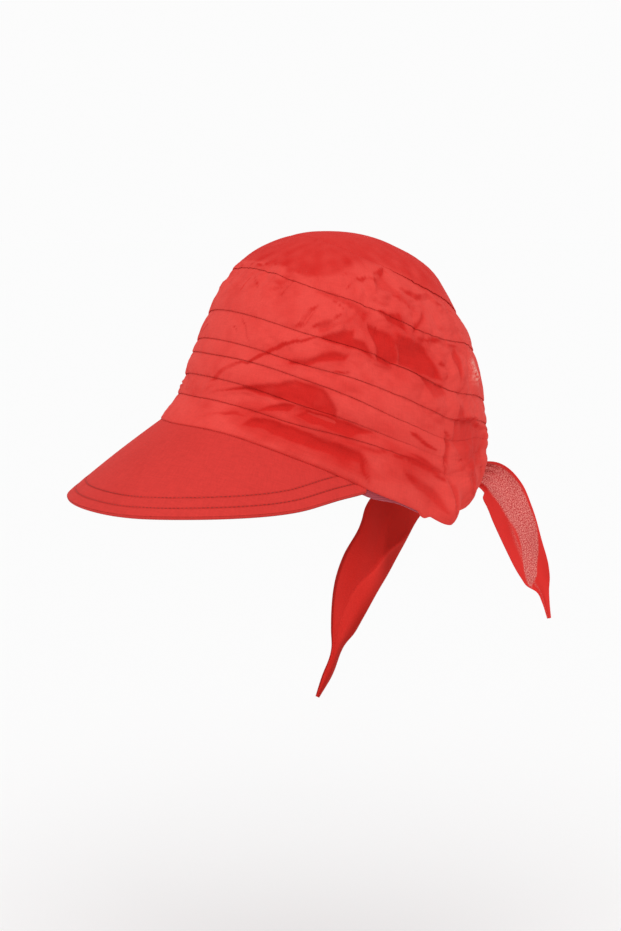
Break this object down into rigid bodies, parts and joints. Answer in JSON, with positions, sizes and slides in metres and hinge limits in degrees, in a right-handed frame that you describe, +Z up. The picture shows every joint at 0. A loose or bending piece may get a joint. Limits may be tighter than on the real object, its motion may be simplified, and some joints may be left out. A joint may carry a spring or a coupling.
{
  "type": "sun hat",
  "caption": "Pleated cotton head-scarf cap with a broad stiff visor, a gathered nape and hanging ties.",
  "frame": {"origin": "middle of the head opening, level with the rim beside the ears", "axes": "+Z up out of the crown's top, -Y forward along the visor, +X to the wearer's left"},
  "size_m": [0.1914, 0.3149, 0.3105],
  "materials": {
    "crown_cotton": "matt plain-weave cotton, washed and slightly crumpled",
    "visor_cotton": "matt plain-weave cotton drawn smooth over a stiff board, with rows of stitching",
    "band_tape": "soft woven sweatband tape in a darker, cooler red",
    "tie_cotton": "thin single-layer cotton, hemmed along both edges, slightly see-through in the middle"
  },
  "bodies": {
    "root": {"pleated_crown": "crown_cotton", "crown_top": "crown_cotton", "visor": "visor_cotton", "sweatband": "band_tape", "knot": "crown_cotton", "near_tie": "tie_cotton", "far_tie": "tie_cotton"}
  },
  "joints": []
}
